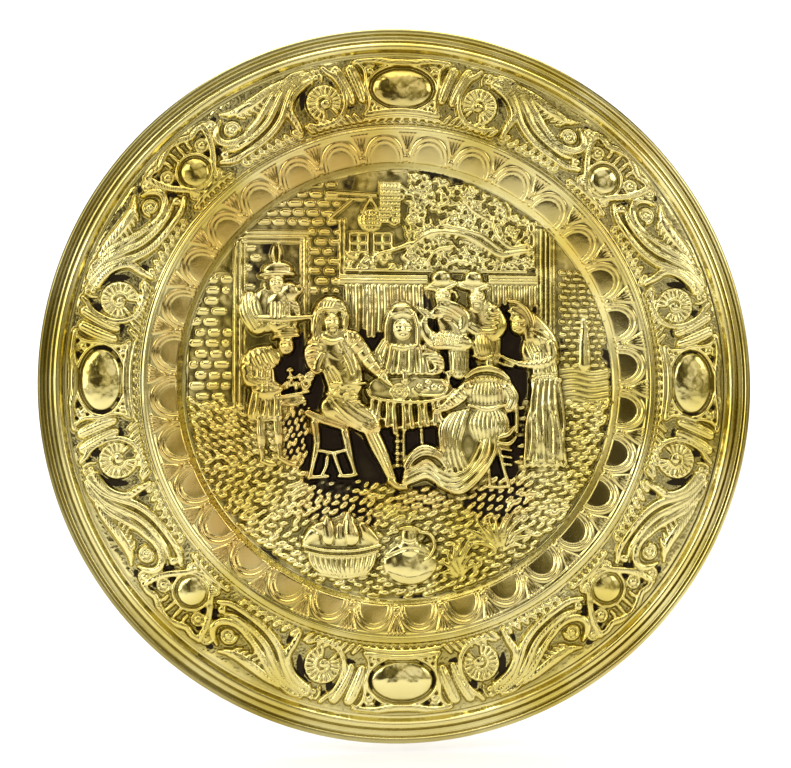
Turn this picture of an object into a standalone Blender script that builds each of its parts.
"""Embossed brass wall plate: one pressed sheet with a rolled edge, and a soldered hanging strap.

The plate hangs upright and faces -Y. X runs to its right and Z up, and the wall is the plane Y = 0.
The origin is on the back of the strap, where it lies flat on the wall. All lengths are in metres.
"""
import math

import bmesh
import bpy
import numpy as np
from mathutils import Matrix, Vector

# The sheet, and the rings of the plate from the middle outwards
SHEET = 0.0006
PICTURE_RADIUS = 0.1855
STEP_WIDTH = 0.0068
EGG_BAND_WIDTH = 0.0214
CREST_WIDTH = 0.0068
CREST_FOOT = 0.0026
BORDER_WIDTH = 0.0581
RIDGE_WIDTH = 0.0038
RAISED_BAND_WIDTH = 0.0082
HOLLOW_WIDTH = 0.0061
BEAD_RADIUS = 0.0028

# How far each ring stands out from the ground of the picture
STEP_RISE = 0.0060
EGG_BAND_RISE = 0.0070
CREST_RISE = 0.0022
BORDER_RISE = 0.0125
RAISED_BAND_RISE = 0.0170
BAND_ROUND = 0.0022
HOLLOW_RISE = 0.0132
BEAD_RISE = 0.0168

# How far the embossing stands out from its own ring
PICTURE_RELIEF = 0.0095
BORDER_RELIEF = 0.0064
EGG_RELIEF = 0.0021

# Repeats round the plate
EGGS = 32
EGG_TURN = math.radians(-4.3)
CARTOUCHES = 4

# The hanging strap on the back
STRAP_WIDTH = 0.020
STRAP_THICKNESS = 0.0012
STRAP_BEND = 0.0018
STRAP_PAD = 0.030
STRAP_FOOT = 0.0050
STRAP_EYE_RADIUS = 0.004
STRAP_EYE_EDGE = 0.011
MOUNT_DROP = 0.009
SOLDER_GAP = 0.0003

# How finely the solid is faceted
GRID = 0.0018
MERGE = 0.000001
LOOP_STEPS = 64
RIM_STEPS = 76
PICTURE_FACETS = 1500
HALF_EGG_FACETS = 10
BORDER_SEGMENT_FACETS = 130
HALF_EGG_CUTS = 4
BORDER_CUTS = 8
EYE_STEPS = 20
FLATTEN = 0.1

BRASS = (0.70, 0.50, 0.15, 1.0)

# Radii that follow from the widths
STEP_RADIUS = PICTURE_RADIUS + STEP_WIDTH
CREST_START = STEP_RADIUS + EGG_BAND_WIDTH
CREST_END = CREST_START + CREST_WIDTH
BORDER_START = CREST_END + CREST_FOOT
BORDER_END = BORDER_START + BORDER_WIDTH
BAND_START = BORDER_END + RIDGE_WIDTH
HOLLOW_START = BAND_START + RAISED_BAND_WIDTH
HOLLOW_END = HOLLOW_START + HOLLOW_WIDTH
BEAD_CENTRE = HOLLOW_END + BEAD_RADIUS
EGG_BAND_OUTER_RISE = STEP_RISE + EGG_BAND_RISE
FOOT_MARGIN = (HOLLOW_WIDTH - STRAP_FOOT) / 2
PLATE_DROP = HOLLOW_START + FOOT_MARGIN - MOUNT_DROP


def smooth_path(points, per_leg=6):
    """Even points along a smooth curve through the given rows of numbers."""
    rows = np.array(points, float)
    padded = np.vstack([2 * rows[0] - rows[1], rows, 2 * rows[-1] - rows[-2]])
    path = []
    for i in range(1, len(padded) - 2):
        a, b, c, d = padded[i - 1:i + 3]
        for t in np.arange(per_leg) / per_leg:
            bend = 2 * b + (c - a) * t + (2 * a - 5 * b + 4 * c - d) * t ** 2
            path.append((bend + (3 * b - a - 3 * c + d) * t ** 3) / 2)
    path.append(rows[-1])
    return np.array(path)


class Board:
    """A drawing board of heights. Shapes are laid on it, and the higher one always shows."""

    def __init__(self, left, right, low, high, step):
        self.left, self.low, self.step = left, low, step
        self.xs = np.arange(left, right + step, step)
        self.ys = np.arange(low, high + step, step)
        self.heights = np.zeros((len(self.ys), len(self.xs)))

    def window(self, x0, x1, y0, y1):
        """The part of the board inside a box, as slices and as grids of x and y."""
        i0, i1 = np.searchsorted(self.xs, (x0, x1))
        j0, j1 = np.searchsorted(self.ys, (y0, y1))
        return (slice(j0, j1), slice(i0, i1)), *np.meshgrid(self.xs[i0:i1], self.ys[j0:j1])

    def lay(self, place, reach, base, dome):
        """Lay a rounded form: reach is 0 at its middle and 1 at its edge."""
        inside = reach < 1
        form = base + dome * np.sqrt(np.clip(1 - reach, 0, 1))
        part = self.heights[place]
        part[inside] = np.maximum(part, form)[inside]

    def blob(self, x, y, rx, ry, base, dome, turn=0):
        """An oval boss."""
        size = max(rx, ry)
        place, gx, gy = self.window(x - size, x + size, y - size, y + size)
        c, s = math.cos(math.radians(turn)), math.sin(math.radians(turn))
        along = ((gx - x) * c + (gy - y) * s) / rx
        across = ((gy - y) * c - (gx - x) * s) / ry
        self.lay(place, along ** 2 + across ** 2, base, dome)

    def limb(self, points, base, dome):
        """A round form swept along rows of (x, y, radius), such as an arm, a fold or a strap."""
        path = smooth_path(points)
        for (ax, ay, ar), (bx, by, br) in zip(path[:-1], path[1:]):
            r = max(ar, br)
            box = min(ax, bx) - r, max(ax, bx) + r, min(ay, by) - r, max(ay, by) + r
            place, gx, gy = self.window(*box)
            dx, dy = bx - ax, by - ay
            run = max(dx * dx + dy * dy, 1e-9)
            t = np.clip(((gx - ax) * dx + (gy - ay) * dy) / run, 0, 1)
            far = (gx - ax - t * dx) ** 2 + (gy - ay - t * dy) ** 2
            self.lay(place, far / np.maximum(ar + t * (br - ar), 1e-3) ** 2, base, dome)

    def slab(self, x0, y0, x1, y1, width, height):
        """A flat-topped bar from one point to another, such as a post or a beam."""
        reach = width / 2 + 1
        box = min(x0, x1) - reach, max(x0, x1) + reach, min(y0, y1) - reach, max(y0, y1) + reach
        place, gx, gy = self.window(*box)
        length = math.hypot(x1 - x0, y1 - y0)
        ux, uy = (x1 - x0) / length, (y1 - y0) / length
        along = np.abs((gx - x0) * ux + (gy - y0) * uy - length / 2) - length / 2
        across = np.abs((gy - y0) * ux - (gx - x0) * uy) - width / 2
        edge = np.clip(0.5 - np.maximum(along, across), 0, 1)
        part = self.heights[place]
        part[:] = np.maximum(part, height * edge)

    def cut(self, points, width, depth):
        """A groove along rows of (x, y)."""
        path = smooth_path(points)
        for (ax, ay), (bx, by) in zip(path[:-1], path[1:]):
            box = min(ax, bx) - width, max(ax, bx) + width, min(ay, by) - width, max(ay, by) + width
            place, gx, gy = self.window(*box)
            dx, dy = bx - ax, by - ay
            t = np.clip(((gx - ax) * dx + (gy - ay) * dy) / (dx * dx + dy * dy), 0, 1)
            far = ((gx - ax - t * dx) ** 2 + (gy - ay - t * dy) ** 2) / width ** 2
            part = self.heights[place]
            floor = part - depth * np.clip(1 - far, 0, 1) * 0.4
            part[:] = np.where(far < 1, floor, part)

    def soften(self, radius):
        """Round every edge over, as thick sheet does in the press."""
        reach = int(3 * radius / self.step)
        weights = np.exp(-0.5 * (np.arange(-reach, reach + 1) * self.step / radius) ** 2)
        weights /= weights.sum()
        for axis in (0, 1):
            pad = [(0, 0), (0, 0)]
            pad[axis] = (reach, reach)
            wide = np.pad(self.heights, pad, mode="reflect")
            count = self.heights.shape[axis]
            runs = (np.take(wide, range(k, k + count), axis) * w for k, w in enumerate(weights))
            self.heights = sum(runs)

    def height(self, x, y):
        """The height at a point, read between the four nearest points of the board."""
        i = np.clip((x - self.left) / self.step, 0, len(self.xs) - 1.001)
        j = np.clip((y - self.low) / self.step, 0, len(self.ys) - 1.001)
        i0, j0 = int(i), int(j)
        u, v = i - i0, j - j0
        a, b = self.heights[j0, i0:i0 + 2]
        c, d = self.heights[j0 + 1, i0:i0 + 2]
        return (a * (1 - u) + b * u) * (1 - v) + (c * (1 - u) + d * u) * v


# The picture is drawn in hundredths of its radius, and heights in shares of PICTURE_RELIEF.

def hat(board, x, y, size, base):
    """A soft round hat: a brim, and a crown above it."""
    board.blob(x, y, size * 1.45, size * 0.42, base, 0.22, -8)
    board.blob(x, y + size * 0.55, size * 0.85, size * 0.75, base, 0.26)


def head(board, x, y, size, base, beard=0.0):
    """A plain head with a nose and, if wanted, a beard."""
    board.blob(x, y, size * 0.82, size, base, 0.32)
    board.blob(x, y - size * 0.1, size * 0.2, size * 0.4, base + 0.16, 0.22)
    if beard:
        board.blob(x, y - size * 0.9, size * 0.6, size * beard, base, 0.26)


def fanned_folds(board, left, right, top, bottom, spread, folds, base, dome):
    """Folds of cloth that hang from a line and widen towards the hem."""
    middle = (left + right) / 2
    for i in range(folds):
        x = left + (right - left) * (i + 0.5) / folds
        foot = middle + (x - middle) * spread
        radius = 0.62 * (right - left) / folds
        board.limb([(x, top, radius), ((x + foot) / 2, (top + bottom) / 2, radius * 1.1),
                    (foot, bottom, radius * spread)], base, dome)


def house(board):
    """The brick house behind: door, wall edge, beams, boards, windows and posts."""
    board.slab(-87, -10, -87, 50, 20, 0.07)
    board.slab(-36, 42, -36, 88, 14, 0.08)
    board.slab(-50, 72, -50, 88, 14, 0.08)
    board.slab(-74.5, -15, -74.5, 66, 4, 0.24)
    board.slab(-76, 67, -42, 67, 5, 0.26)
    board.slab(-44, 4, -44, 66, 4, 0.24)
    board.slab(-30, 47.5, 12, 47.5, 3.6, 0.34)
    board.slab(-27, 52, 60, 52, 2.2, 0.24)
    board.slab(41, 47.5, 65, 47.5, 5, 0.34)
    board.slab(-27, 56, -27, 75, 2.5, 0.22)
    for x in (-19.5, -8.5):
        for side in (-4, 4):
            board.slab(x + side, 61, x + side, 69, 1.6, 0.22)
        for level in (60.5, 69.5):
            board.slab(x - 4.5, level, x + 4.5, level, 1.6, 0.22)
    for x in range(-22, 16, 6):
        board.slab(x, 24, x, 44, 3.6, 0.13)
    for x in (67, 71):
        board.slab(x, 24, x, 72, 2.8, 0.30)
    board.slab(62.5, 56, 62.5, 74, 4, 0.26)
    board.slab(84, 6, 84, 48, 19, 0.10)
    board.blob(87, 17, 3.2, 10, 0.05, 0.22)
    for level in (-10, -3, 4):
        board.slab(76, level, 97, level, 2.6, 0.10)


def yard_things(board):
    """The lantern on its bracket, the bird cage, and the vine over the beams."""
    board.slab(-33, 77, -22, 86, 2.6, 0.22)
    board.slab(-34, 87, -12, 87, 2.6, 0.22)
    board.blob(-14, 76, 5, 5, 0.10, 0.28)
    board.slab(-5, 75, -5, 93, 9, 0.26)
    for x in (-7.5, -2.5):
        board.cut([(x, 76), (x, 84), (x, 92)], 1.2, 0.25)
    boughs = ([(7, 65, 2), (16, 70, 2.4), (26, 70, 2.4), (36, 66, 2.6), (46, 60, 2.6), (59, 62, 2)],
              [(20, 73, 2), (31, 71, 2), (40, 68, 2), (49, 61, 2)],
              [(43, 77, 2), (45, 70, 2), (52, 64, 2.2), (60, 64, 2)])
    for bough in boughs:
        board.limb(bough, 0.12, 0.26)
    clumps = ((3, 58), (15, 62), (14, 79), (26, 82), (28, 61), (37, 88), (47, 80), (45, 55), (56, 72))
    for n, (x, y) in enumerate(clumps):
        board.blob(x, y, 6.4, 4.4, 0.06, 0.28, 50 * n)


def doorway_pair(board):
    """The host in the doorway with his cup, and the boy with a dish below him."""
    board.limb([(-70, 38, 4.5), (-69, 31, 6.5), (-65, 25, 5)], 0.20, 0.36)
    board.limb([(-56, 37, 6), (-56, 31, 7), (-55, 27, 6)], 0.22, 0.34)
    head(board, -57, 46.5, 5.4, 0.30, 0.5)
    hat(board, -55, 50.5, 5.6, 0.32)
    board.limb([(-57, 56, 2), (-59, 60, 1.6), (-61, 63, 1)], 0.20, 0.2)
    board.blob(-51, 42.5, 4.2, 4.4, 0.38, 0.30)
    board.slab(-67, 27.5, -42, 29.5, 4.2, 0.44)
    head(board, -54, 17, 6, 0.34)
    board.blob(-52, 23.5, 6.4, 3.6, 0.38, 0.26)
    board.blob(-65, 10, 9.5, 6.5, 0.28, 0.36, 12)
    board.limb([(-70, 8, 4), (-68, 0, 3.6), (-60, 2, 3), (-56, -1, 2.6)], 0.30, 0.34)
    board.limb([(-62, 8, 6), (-62, 0, 6), (-62, -5, 6)], 0.28, 0.34)
    fanned_folds(board, -69, -55, -5, -16, 1.15, 4, 0.26, 0.34)
    board.limb([(-64, -17, 2.8), (-64, -27, 2.4), (-63, -36, 2)], 0.22, 0.34)
    board.limb([(-57, -17, 2.8), (-56, -26, 2.4), (-55.5, -34, 2)], 0.22, 0.34)
    board.limb([(-63, -36.5, 1.8), (-59, -37.5, 1.8)], 0.2, 0.26)
    board.limb([(-55, -35, 1.8), (-50, -37.5, 1.8)], 0.2, 0.26)
    board.blob(-50, -8, 7.5, 3, 0.36, 0.22, 8)
    for x, y in ((-53, -1), (-49, 3), (-46, -1)):
        board.blob(x, y, 3, 3, 0.34, 0.24)


def seated_man(board):
    """The man on the stool, leaning on the table."""
    board.slab(-43, -15, -24, -21, 4, 0.40)
    for top, foot in (((-40, -19), (-42, -44)), ((-31, -33), (-36, -43)), ((-31, -33), (-28, -43)),
                      ((-25, -25), (-22, -42))):
        board.slab(*top, *foot, 3, 0.36)
    board.limb([(-29, 17, 8.5), (-28, 8, 9.5), (-28, 0, 9)], 0.42, 0.44)
    board.limb([(-40, 16, 4), (-31, 20, 6), (-21, 17, 4.5)], 0.42, 0.40)
    board.limb([(-40, 18, 4.6), (-42, 10, 4.4), (-39, 5, 3.8), (-44, 2.5, 2.6)], 0.46, 0.42)
    board.limb([(-22, 22, 3.4), (-17, 15, 3.4), (-12, 7, 3.2), (-7, 0, 2.8)], 0.48, 0.40)
    board.blob(-27, -5.5, 8.5, 4.6, 0.50, 0.36, -12)
    board.limb([(-32, -11, 5.6), (-22, -15, 6.2), (-14, -20, 4.8)], 0.50, 0.44)
    board.limb([(-15, -21, 4.2), (-10, -32, 3.4), (-4, -45, 2.2), (2, -48, 2)], 0.44, 0.40)
    head(board, -31, 25, 5.2, 0.52, 0.55)
    hat(board, -33, 33, 6, 0.52)
    board.blob(-24, 20, 3.4, 4, 0.60, 0.30)
    for x, y in ((-26.5, 12), (-26, 8), (-25.5, 4)):
        board.blob(x, y, 1.2, 1.2, 0.78, 0.16)


def woman_at_table(board):
    """The veiled woman behind the table."""
    board.limb([(0.5, 30, 7), (0.5, 24, 7.4), (0.5, 19, 6.6)], 0.24, 0.28)
    head(board, 0.5, 25, 5.2, 0.38)
    fanned_folds(board, -9, 12, 15, 5, 1.1, 5, 0.24, 0.30)
    board.limb([(-8, 18, 4), (-11, 12, 4.2), (-7, 6, 3.4)], 0.30, 0.32)
    board.limb([(11, 16, 4), (16, 9, 4.6), (12, 4, 3.4)], 0.30, 0.32)
    board.blob(1, 16, 5, 2.2, 0.44, 0.2)


def table(board):
    """The laid table: its top, the dishes, the hanging cloth and the turned leg."""
    board.slab(-15, -1.5, 24, -1.5, 11, 0.44)
    board.blob(0, -4.5, 4.4, 3, 0.44, 0.14)
    board.limb([(2, 1, 2.2), (2, 4, 2.2)], 0.48, 0.24)
    board.blob(13, -2, 8.5, 4, 0.44, 0.22)
    board.limb([(23, 2, 2), (24, 7, 2.2)], 0.48, 0.22)
    fanned_folds(board, -13, 17, -8, -20, 1.05, 7, 0.34, 0.28)
    for y in range(-38, -22, 4):
        board.blob(-1.5, y, 2.2, 2.4, 0.26, 0.26)


def two_drinkers(board):
    """The two men in hats who stand behind the table, one with a pipe."""
    board.limb([(37, 34, 6), (40, 24, 6), (40, 13, 5)], 0.24, 0.34)
    head(board, 36, 40, 4.8, 0.34, 0.5)
    hat(board, 34, 46, 5.2, 0.36)
    board.limb([(22, 35, 6.5), (22, 27, 7), (22, 18, 6.5)], 0.30, 0.38)
    board.limb([(26, 33, 4), (24, 24, 4.4), (16, 27, 3), (11, 29, 2.4)], 0.42, 0.34)
    board.limb([(42, 33, 4), (40, 25, 4), (33, 24, 3), (28, 28, 2.4)], 0.36, 0.34)
    board.limb([(15, 19, 4), (22, 21, 5), (28, 18, 4)], 0.44, 0.26)
    head(board, 20, 41, 5, 0.42, 0.5)
    hat(board, 19, 48.5, 5.4, 0.44)
    board.limb([(8, 34, 1.2), (15, 30, 1.2)], 0.40, 0.2)


def seated_woman(board):
    """The woman seen from behind on her chair, with her spread skirts and train."""
    board.slab(41, -28, 41, -47, 2.6, 0.36)
    board.slab(45, -33, 50, -47, 2.6, 0.36)
    board.slab(52, 2, 54, -24, 2.8, 0.40)
    board.slab(41, -48, 50, -48, 2.2, 0.34)
    board.blob(39, 17, 4.6, 7.4, 0.46, 0.40)
    board.limb([(35, 5, 3), (40, 6, 4.6), (45, 4, 3)], 0.50, 0.30)
    board.limb([(32, -1, 3), (40, 0, 3.4), (49, -1, 3)], 0.56, 0.34)
    board.limb([(40, 0, 9), (40, -5, 8.5), (38, -10, 7.5)], 0.46, 0.44)
    board.limb([(31, -2, 4.2), (26, -7, 4.2), (20, -11, 3.2)], 0.50, 0.38)
    board.blob(39, -19, 11, 9.5, 0.50, 0.46, 25)
    board.blob(24, -23, 9, 7.5, 0.48, 0.44, 70)
    starts = ((45, -22), (40, -24), (34, -25), (28, -27), (22, -28), (16, -29))
    hems = ((36, -46), (30, -50), (20, -49), (13, -46), (6, -43), (1, -41))
    for (x0, y0), (x1, y1) in zip(starts, hems):
        board.limb([(x0, y0, 3), ((x0 + x1) / 2 + 1.5, (y0 + y1) / 2, 3.6), (x1, y1, 2.6)], 0.38, 0.38)


def standing_woman(board):
    """The standing woman at the right with her long pleated gown."""
    board.limb([(53, 36, 2.6), (58, 33, 3), (61, 27, 3), (60, 21, 3)], 0.34, 0.34)
    board.blob(55, 27, 4.2, 6, 0.34, 0.32)
    board.blob(65, 21, 6, 5, 0.38, 0.38)
    board.limb([(70, 17, 3.6), (69, 11, 3.4), (61, 9, 3.2), (52, 9.5, 3)], 0.44, 0.34)
    board.limb([(64, 14, 6), (66, 8, 6.5), (67, 3, 6)], 0.30, 0.36)
    fanned_folds(board, 60, 73, 2, -15, 1.0, 4, 0.32, 0.36)
    fanned_folds(board, 59, 75, -13, -34, 1.15, 5, 0.30, 0.34)


def yard_front(board):
    """The basket, the jug and the plants on the cobbles."""
    board.limb([(-44, -72, 4), (-36, -67, 5), (-27, -66, 5.4), (-16, -69, 5)], 0.16, 0.34)
    board.limb([(-44, -77, 2.4), (-27, -79, 2.6), (-10, -77, 2.4)], 0.36, 0.22)
    fanned_folds(board, -43, -11, -79, -87, 0.72, 8, 0.24, 0.26)
    board.blob(5, -81, 12, 10, 0.16, 0.46)
    board.limb([(4, -73, 3.4), (4, -68, 4)], 0.34, 0.26)
    board.limb([(9, -69, 1.6), (15, -72, 1.8), (15, -79, 1.8), (11, -83, 1.6)], 0.32, 0.22)
    for x, y in ((41, -62), (47, -65), (53, -59), (59, -65), (61, -70), (33, -67), (31, -75)):
        board.limb([(46, -78, 1.4), ((46 + x) / 2, (y - 78) / 2 + 1, 2), (x, y, 0.8)], 0.08, 0.28)
    for x, y in ((35, -73), (29, -74), (22, -78), (19, -86), (34, -84)):
        board.limb([(27, -90, 1.4), ((27 + x) / 2, (y - 90) / 2 + 1, 1.8), (x, y, 0.8)], 0.08, 0.22)


def draw_picture():
    """The tavern yard, from the far wall to the front."""
    board = Board(-100, 100, -100, 100, 0.5)
    for scene in (house, yard_things, doorway_pair, woman_at_table, two_drinkers, standing_woman,
                  table, seated_man, seated_woman, yard_front):
        scene(board)
    board.soften(0.9)
    return board


# The border is drawn from the middle of a large cartouche to the middle of a small one, in degrees
# round the plate and hundredths of the band's width, and heights in shares of BORDER_RELIEF.

SEGMENT = 180 / CARTOUCHES
BORDER_SCALE = 100 * math.radians((BORDER_START + BORDER_END) / 2) / BORDER_WIDTH


def draw_border():
    """One eighth of the border: cartouche, volute, acanthus leaf and small cartouche."""
    board = Board(-60, SEGMENT * BORDER_SCALE + 60, 0, 100, 1.0)

    def at(points):
        return [(angle * BORDER_SCALE, share, radius) for angle, share, radius in points]

    def strap(points, base=0.25, dome=0.45):
        board.limb(at(points), base, dome)

    def boss(angle, share, rx, ry, base, dome):
        board.blob(angle * BORDER_SCALE, share, rx, ry, base, dome)

    # The large cartouche
    boss(0, 49, 40, 29, 0.20, 0.80)
    strap([(-6, 95, 5), (0, 92, 5), (6.3, 95, 5), (8.4, 88, 5), (8.2, 74, 5), (7.2, 56, 5), (6.9, 44, 5),
           (8.4, 32, 5)])
    strap([(-7, 11, 5), (0, 13, 5.5), (7.2, 11, 5)])
    boss(6.4, 75, 6.5, 7, 0.20, 0.45)
    boss(5.9, 24, 7, 7.5, 0.20, 0.45)
    # The S-shaped strap and the volute
    strap([(11.8, 84, 5), (10.3, 68, 5.5), (9.7, 55, 5.5), (9.2, 42, 5), (8.3, 32, 5)])
    strap([(13.6, 88, 4), (12.3, 73, 4.5), (11.5, 56, 4.5), (11.4, 42, 4.5), (12.6, 29, 4.5), (15, 20, 5),
           (18, 20, 5)])
    boss(15.5, 44, 20, 21, 0.15, 0.40)
    boss(15.2, 39, 10, 10, 0.45, 0.45)
    boss(15.4, 84, 6, 9, 0.15, 0.50)
    for angle in (11.5, 13.2, 14.9, 16.6, 18.3, 20.0):
        boss(angle, 9, 5.5, 9, 0.15, 0.35)
    # The acanthus leaf
    strap([(17.3, 82, 5.5), (19.8, 72, 6.5), (21.8, 60, 6.5), (22.8, 44, 6), (22.3, 28, 5.5), (22, 12, 5)])
    strap([(18.3, 91, 5.5), (20.8, 88, 6), (23, 77, 6), (25, 67, 5.5), (27, 58, 5)])
    lobes = ((24.2, 60, 23.9, 33), (25, 60, 26.4, 18), (26, 58, 29, 16), (27, 55, 31.8, 12), (28.3, 50, 34.6, 11))
    for a0, s0, a1, s1 in lobes:
        strap([(a0, s0, 4), ((a0 + a1) / 2, (s0 + s1) / 2 - 2, 5.5), (a1, s1, 6)], 0.18, 0.45)
    strap([(23.5, 79, 5), (27, 75, 8), (31, 79, 7), (33.6, 93, 2)], 0.20, 0.45)
    # The small spiral and the strap below it
    boss(34.4, 61, 11, 12, 0.15, 0.45)
    strap([(28.5, 60, 4.5), (31, 48, 5), (34, 43, 5), (36.8, 50, 5.5), (37.2, 62, 5.5), (35.8, 75, 5)])
    strap([(30, 40, 5), (33, 30, 5), (37, 29, 5), (39.6, 36, 4.5)])
    boss(38.3, 36, 7.5, 8, 0.25, 0.45)
    # The small cartouche
    boss(SEGMENT, 44, 22, 22, 0.20, 0.72)
    strap([(SEGMENT + 2, 95, 4.5), (SEGMENT, 98, 4.5), (43.2, 95, 4.5), (41, 88, 4.5), (38.3, 90, 4.5), (38.2, 75, 4.5),
           (39.4, 57, 4.5), (41, 36, 4.5), (42.4, 20, 4.5), (SEGMENT, 15, 5)])
    boss(40.6, 68, 7.5, 8, 0.20, 0.45)
    boss(43.2, 79, 6, 8, 0.15, 0.40)
    board.soften(1.5)
    return board


def ring_rise(radius):
    """How far the plain turned form stands out from the ground of the picture."""
    crest = (CREST_START + CREST_END) / 2
    radii = [PICTURE_RADIUS, STEP_RADIUS, CREST_START, crest, BORDER_START, BORDER_END]
    rises = [0, STEP_RISE, EGG_BAND_OUTER_RISE, EGG_BAND_OUTER_RISE + CREST_RISE, BORDER_RISE, BORDER_RISE]
    return float(np.interp(radius, radii, rises))


def picture_rise(radius, angle, board):
    """The embossing of the picture at a point given by its radius and its clockwise angle from +X."""
    share = 100 * radius / PICTURE_RADIUS
    fade = min(1, max(0, (100 - share) / 3))
    return PICTURE_RELIEF * fade * board.height(share * math.cos(angle), -share * math.sin(angle))


def egg_rise(radius, angle):
    """Half an egg of the egg band, from its middle to the gap beside it."""
    across = angle * EGGS / math.pi
    share = (radius - STEP_RADIUS) / EGG_BAND_WIDTH
    reach = math.hypot(across / 0.85, (share - 0.38) / 0.50)
    return EGG_RELIEF * math.sqrt(max(0, 1 - reach ** 2))


def border_rise(radius, angle, board):
    """The ornament of one eighth of the border, from a large cartouche to a small one."""
    share = 100 * (radius - BORDER_START) / BORDER_WIDTH
    fade = min(1, max(0, share / 4), max(0, (100 - share) / 3))
    return BORDER_RELIEF * fade * board.height(math.degrees(angle) * BORDER_SCALE, share)


def turned(points, steps, sweep=math.tau):
    """Turn a profile of (radius, rise) rows round the plate's middle, and give it as a mesh."""
    mesh = bpy.data.meshes.new("profile")
    rows = [(radius, -rise - SHEET, 0) for radius, rise in points]
    mesh.from_pydata(rows, [(i, i + 1) for i in range(len(rows) - 1)], [])
    profile = bpy.data.objects.new("profile", mesh)
    bpy.context.scene.collection.objects.link(profile)
    screw = profile.modifiers.new("turn", "SCREW")
    screw.axis = "Y"
    screw.angle = sweep
    screw.steps = steps
    screw.render_steps = steps
    screw.use_merge_vertices = True
    screw.merge_threshold = MERGE
    result = bpy.data.meshes.new_from_object(profile.evaluated_get(bpy.context.evaluated_depsgraph_get()))
    bpy.data.objects.remove(profile)
    bpy.data.meshes.remove(mesh)
    return result


def pressed_sector(inner, outer, sweep, rise, facets, cuts):
    """A sector of the sheet with its embossing pressed in, in about the given number of facets.

    It starts at +X and sweeps clockwise. Its open edges keep even steps, so that neighbours meet.
    The facets are worked out on a flattened copy, so that none folds over another, and none lies
    deeper than the ground of the picture.
    """
    rings = round((outer - inner) / GRID)
    radii = [inner + (outer - inner) * i / rings for i in range(rings + 1)]
    mesh = turned([(radius, ring_rise(radius)) for radius in radii], round(sweep * outer / GRID), sweep)
    bm = bmesh.new()
    bm.from_mesh(mesh)
    bmesh.ops.remove_doubles(bm, verts=bm.verts[:], dist=MERGE)
    for vert in bm.verts:
        x, z = vert.co.x, vert.co.z
        vert.co.y -= rise(math.hypot(x, z), math.atan2(-z, x))
    thin_out_edges(bm, inner, outer, sweep, cuts)
    bmesh.ops.triangulate(bm, faces=bm.faces[:])
    bm.verts.index_update()
    free = [vert.index for vert in bm.verts if not vert.is_boundary]
    count = len(bm.faces)
    bm.to_mesh(mesh)
    bm.free()
    mesh.transform(Matrix.Diagonal((1, FLATTEN, 1, 1)))
    ring = bpy.data.objects.new("ring", mesh)
    bpy.context.scene.collection.objects.link(ring)
    ring.vertex_groups.new(name="free").add(free, 1.0, "REPLACE")
    fewer = ring.modifiers.new("facets", "DECIMATE")
    fewer.ratio = facets / count
    fewer.vertex_group = "free"
    result = bpy.data.meshes.new_from_object(ring.evaluated_get(bpy.context.evaluated_depsgraph_get()))
    result.transform(Matrix.Diagonal((1, 1 / FLATTEN, 1, 1)))
    for vert in result.vertices:
        vert.co.y = min(vert.co.y, -SHEET)
    bpy.data.objects.remove(ring)
    bpy.data.meshes.remove(mesh)
    return result


def thin_out_edges(bm, inner, outer, sweep, cuts):
    """Weld the points of the open edges in groups: along the arcs in even steps, and across in cuts."""
    arcs = round(sweep * LOOP_STEPS / math.tau)

    def place(vert):
        across = cuts * (vert.co.xz.length - inner) / (outer - inner)
        along = arcs * math.atan2(-vert.co.z, vert.co.x) / sweep
        return along, across

    def miss(vert):
        return sum(abs(share - round(share)) for share in place(vert))

    keepers, targets = {}, {}
    for vert in sorted((v for v in bm.verts if v.is_boundary), key=miss):
        along, across = (round(share) for share in place(vert))
        spot = (along % LOOP_STEPS, across)
        if spot in keepers:
            targets[vert] = keepers[spot]
        else:
            keepers[spot] = vert
    bmesh.ops.weld_verts(bm, targetmap=targets)


def repeated(mesh, copies, turn):
    """Mirror a sector that starts at +X, and repeat the pair round the plate from the given turn."""
    bm = bmesh.new()
    for i in range(copies):
        spin = Matrix.Rotation(turn - math.pi / 2 + i * math.tau / copies, 4, "Y")
        for side in (1, -1):
            copy = mesh.copy()
            copy.transform(spin @ Matrix.Diagonal((1, 1, side, 1)))
            bm.from_mesh(copy)
            bpy.data.meshes.remove(copy)
    bm.to_mesh(mesh)
    bm.free()
    return mesh


def rim_profile():
    """The plain rim: thin ridge, raised band, hollow, and the sheet curled into the bead."""
    shoulder = RAISED_BAND_WIDTH * 0.28
    rows = [(BAND_START, RAISED_BAND_RISE - BAND_ROUND), (BAND_START + shoulder, RAISED_BAND_RISE),
            (HOLLOW_START - shoulder, RAISED_BAND_RISE), (HOLLOW_START, HOLLOW_RISE), (HOLLOW_END, HOLLOW_RISE)]
    middle = BEAD_RISE - BEAD_RADIUS
    for degrees in (135, 58, -19, -96):
        angle = math.radians(degrees)
        rows.append((BEAD_CENTRE + BEAD_RADIUS * math.cos(angle), middle + BEAD_RADIUS * math.sin(angle)))
    return rows


def open_loops(bm):
    """The open edges of a mesh, grouped into loops and sorted from the middle outwards."""
    left = {edge for edge in bm.edges if edge.is_boundary}
    loops = []
    while left:
        loop, front = [], [left.pop()]
        while front:
            edge = front.pop()
            loop.append(edge)
            near = {other for vert in edge.verts for other in vert.link_edges if other in left}
            left -= near
            front += near
        loops.append(loop)
    return sorted(loops, key=lambda loop: sum(edge.verts[0].co.xz.length for edge in loop) / len(loop))


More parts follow.
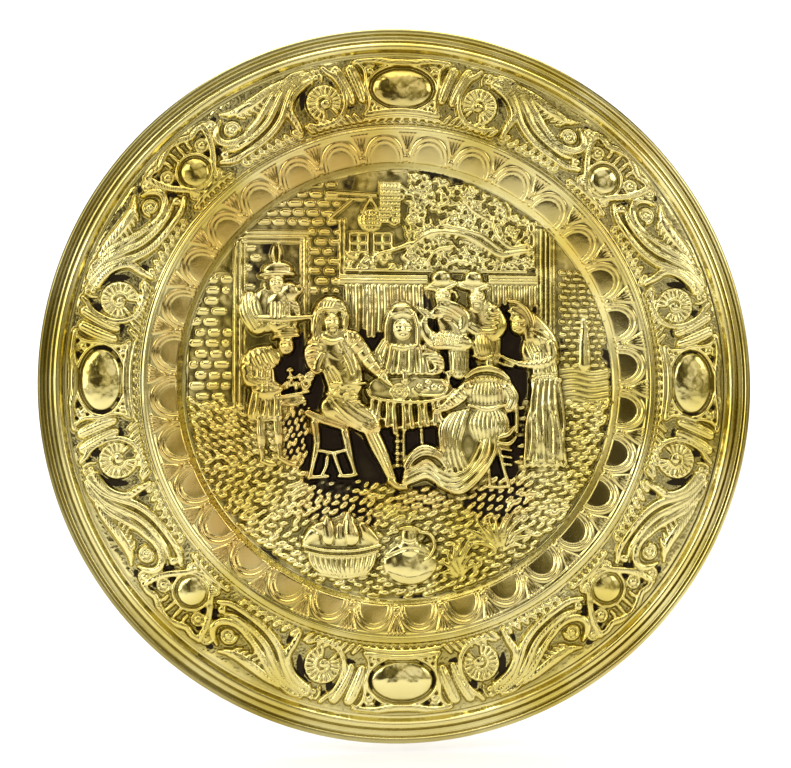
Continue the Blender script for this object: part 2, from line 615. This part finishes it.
def thicken(bm):
    """Give the pressed surface its thickness: straight back, and inwards round the bead."""
    middle = Vector((BEAD_CENTRE, BEAD_RADIUS - BEAD_RISE - SHEET))
    skin = bmesh.ops.extrude_face_region(bm, geom=bm.faces[:])["geom"]
    for vert in skin:
        if not isinstance(vert, bmesh.types.BMVert):
            continue
        radius = vert.co.xz.length
        if radius < HOLLOW_END + MERGE:
            vert.co.y += SHEET
            continue
        inwards = (middle - Vector((radius, vert.co.y))).normalized() * SHEET
        out = vert.co.xz.normalized() * inwards.x
        vert.co += Vector((out.x, inwards.y, out.y))


def build_plate(collection):
    """The whole pressed sheet."""
    picture, border = draw_picture(), draw_border()
    crest = (CREST_START + CREST_END) / 2
    half_egg = math.pi / EGGS
    segment = math.radians(SEGMENT)
    rings = [pressed_sector(0, PICTURE_RADIUS, math.tau, lambda r, a: picture_rise(r, a, picture),
                            PICTURE_FACETS, 1),
             repeated(pressed_sector(STEP_RADIUS, crest, half_egg, egg_rise, HALF_EGG_FACETS, HALF_EGG_CUTS),
                      EGGS, EGG_TURN),
             repeated(pressed_sector(BORDER_START, BORDER_END, segment, lambda r, a: border_rise(r, a, border),
                                     BORDER_SEGMENT_FACETS, BORDER_CUTS), CARTOUCHES, 0),
             turned(rim_profile(), RIM_STEPS)]
    bm = bmesh.new()
    for mesh in rings:
        bm.from_mesh(mesh)
        bpy.data.meshes.remove(mesh)
    bmesh.ops.remove_doubles(bm, verts=bm.verts[:], dist=MERGE)
    loops = open_loops(bm)
    for inner, outer in zip(loops[0:-1:2], loops[1:-1:2]):
        bmesh.ops.bridge_loops(bm, edges=inner + outer)
    bmesh.ops.triangulate(bm, faces=bm.faces[:])
    thicken(bm)
    bmesh.ops.recalc_face_normals(bm, faces=bm.faces[:])
    mesh = bpy.data.meshes.new("plate")
    bm.to_mesh(mesh)
    bm.free()
    mesh.shade_smooth()
    plate = bpy.data.objects.new("plate", mesh)
    collection.objects.link(plate)
    plate.location.z = -PLATE_DROP
    return plate


def strap_line():
    """The middle line of the strap, as (y, z) rows from its foot to the end of its pad."""
    foot_y = -HOLLOW_RISE + SOLDER_GAP + STRAP_THICKNESS / 2
    pad_y = -STRAP_THICKNESS / 2
    bend_z = HOLLOW_START + FOOT_MARGIN
    rows = [(foot_y, bend_z + STRAP_FOOT)]
    for i in range(5):
        turn = math.radians(22.5 * i)
        rows.append((foot_y + STRAP_BEND * (1 - math.cos(turn)), bend_z + STRAP_BEND * (1 - math.sin(turn))))
    for i in range(5):
        turn = math.radians(22.5 * i)
        rows.append((pad_y - STRAP_BEND * (1 - math.sin(turn)), bend_z - STRAP_BEND * (1 - math.cos(turn))))
    rows.append((pad_y, bend_z - STRAP_PAD))
    return rows


def build_strap(collection, cutters):
    """The soldered strap: a foot on the back of the rim, a bend, and a pad with an eye."""
    rows = strap_line()
    bm = bmesh.new()
    bottom = [bm.verts.new((-STRAP_WIDTH / 2, y, z - PLATE_DROP)) for y, z in rows]
    edges = [bm.edges.new(pair) for pair in zip(bottom[:-1], bottom[1:])]
    moved = bmesh.ops.extrude_edge_only(bm, edges=edges)["geom"]
    verts = [item for item in moved if isinstance(item, bmesh.types.BMVert)]
    bmesh.ops.translate(bm, verts=verts, vec=(STRAP_WIDTH, 0, 0))
    mesh = bpy.data.meshes.new("hanging_strap")
    bm.to_mesh(mesh)
    bm.free()
    strap = bpy.data.objects.new("hanging_strap", mesh)
    collection.objects.link(strap)
    wall = strap.modifiers.new("sheet", "SOLIDIFY")
    wall.thickness = STRAP_THICKNESS
    wall.offset = 0
    wall.use_even_offset = True
    eye_z = HOLLOW_START + FOOT_MARGIN - STRAP_PAD + STRAP_EYE_EDGE - PLATE_DROP
    bpy.ops.mesh.primitive_cylinder_add(vertices=EYE_STEPS, radius=STRAP_EYE_RADIUS, depth=4 * STRAP_THICKNESS,
                                        location=(0, -STRAP_THICKNESS / 2, eye_z), rotation=(math.pi / 2, 0, 0))
    eye = bpy.context.object
    eye.name = "eye_cutter"
    eye.hide_render = True
    eye.display_type = "WIRE"
    for owner in eye.users_collection:
        owner.objects.unlink(eye)
    cutters.objects.link(eye)
    hole = strap.modifiers.new("eye", "BOOLEAN")
    hole.object = eye
    return strap


def brass(name, roughness):
    """Polished brass."""
    material = bpy.data.materials.new(name)
    material.use_nodes = True
    shader = material.node_tree.nodes["Principled BSDF"]
    shader.inputs["Base Color"].default_value = BRASS
    shader.inputs["Metallic"].default_value = 1.0
    shader.inputs["Roughness"].default_value = roughness
    return material


def main():
    for obj in list(bpy.data.objects):
        bpy.data.objects.remove(obj)
    collection = bpy.data.collections.new("embossed_brass_plate")
    cutters = bpy.data.collections.new("cutters")
    for group in (collection, cutters):
        bpy.context.scene.collection.children.link(group)
    build_plate(collection).data.materials.append(brass("embossed_brass", 0.22))
    build_strap(collection, cutters).data.materials.append(brass("plain_brass", 0.35))


main()
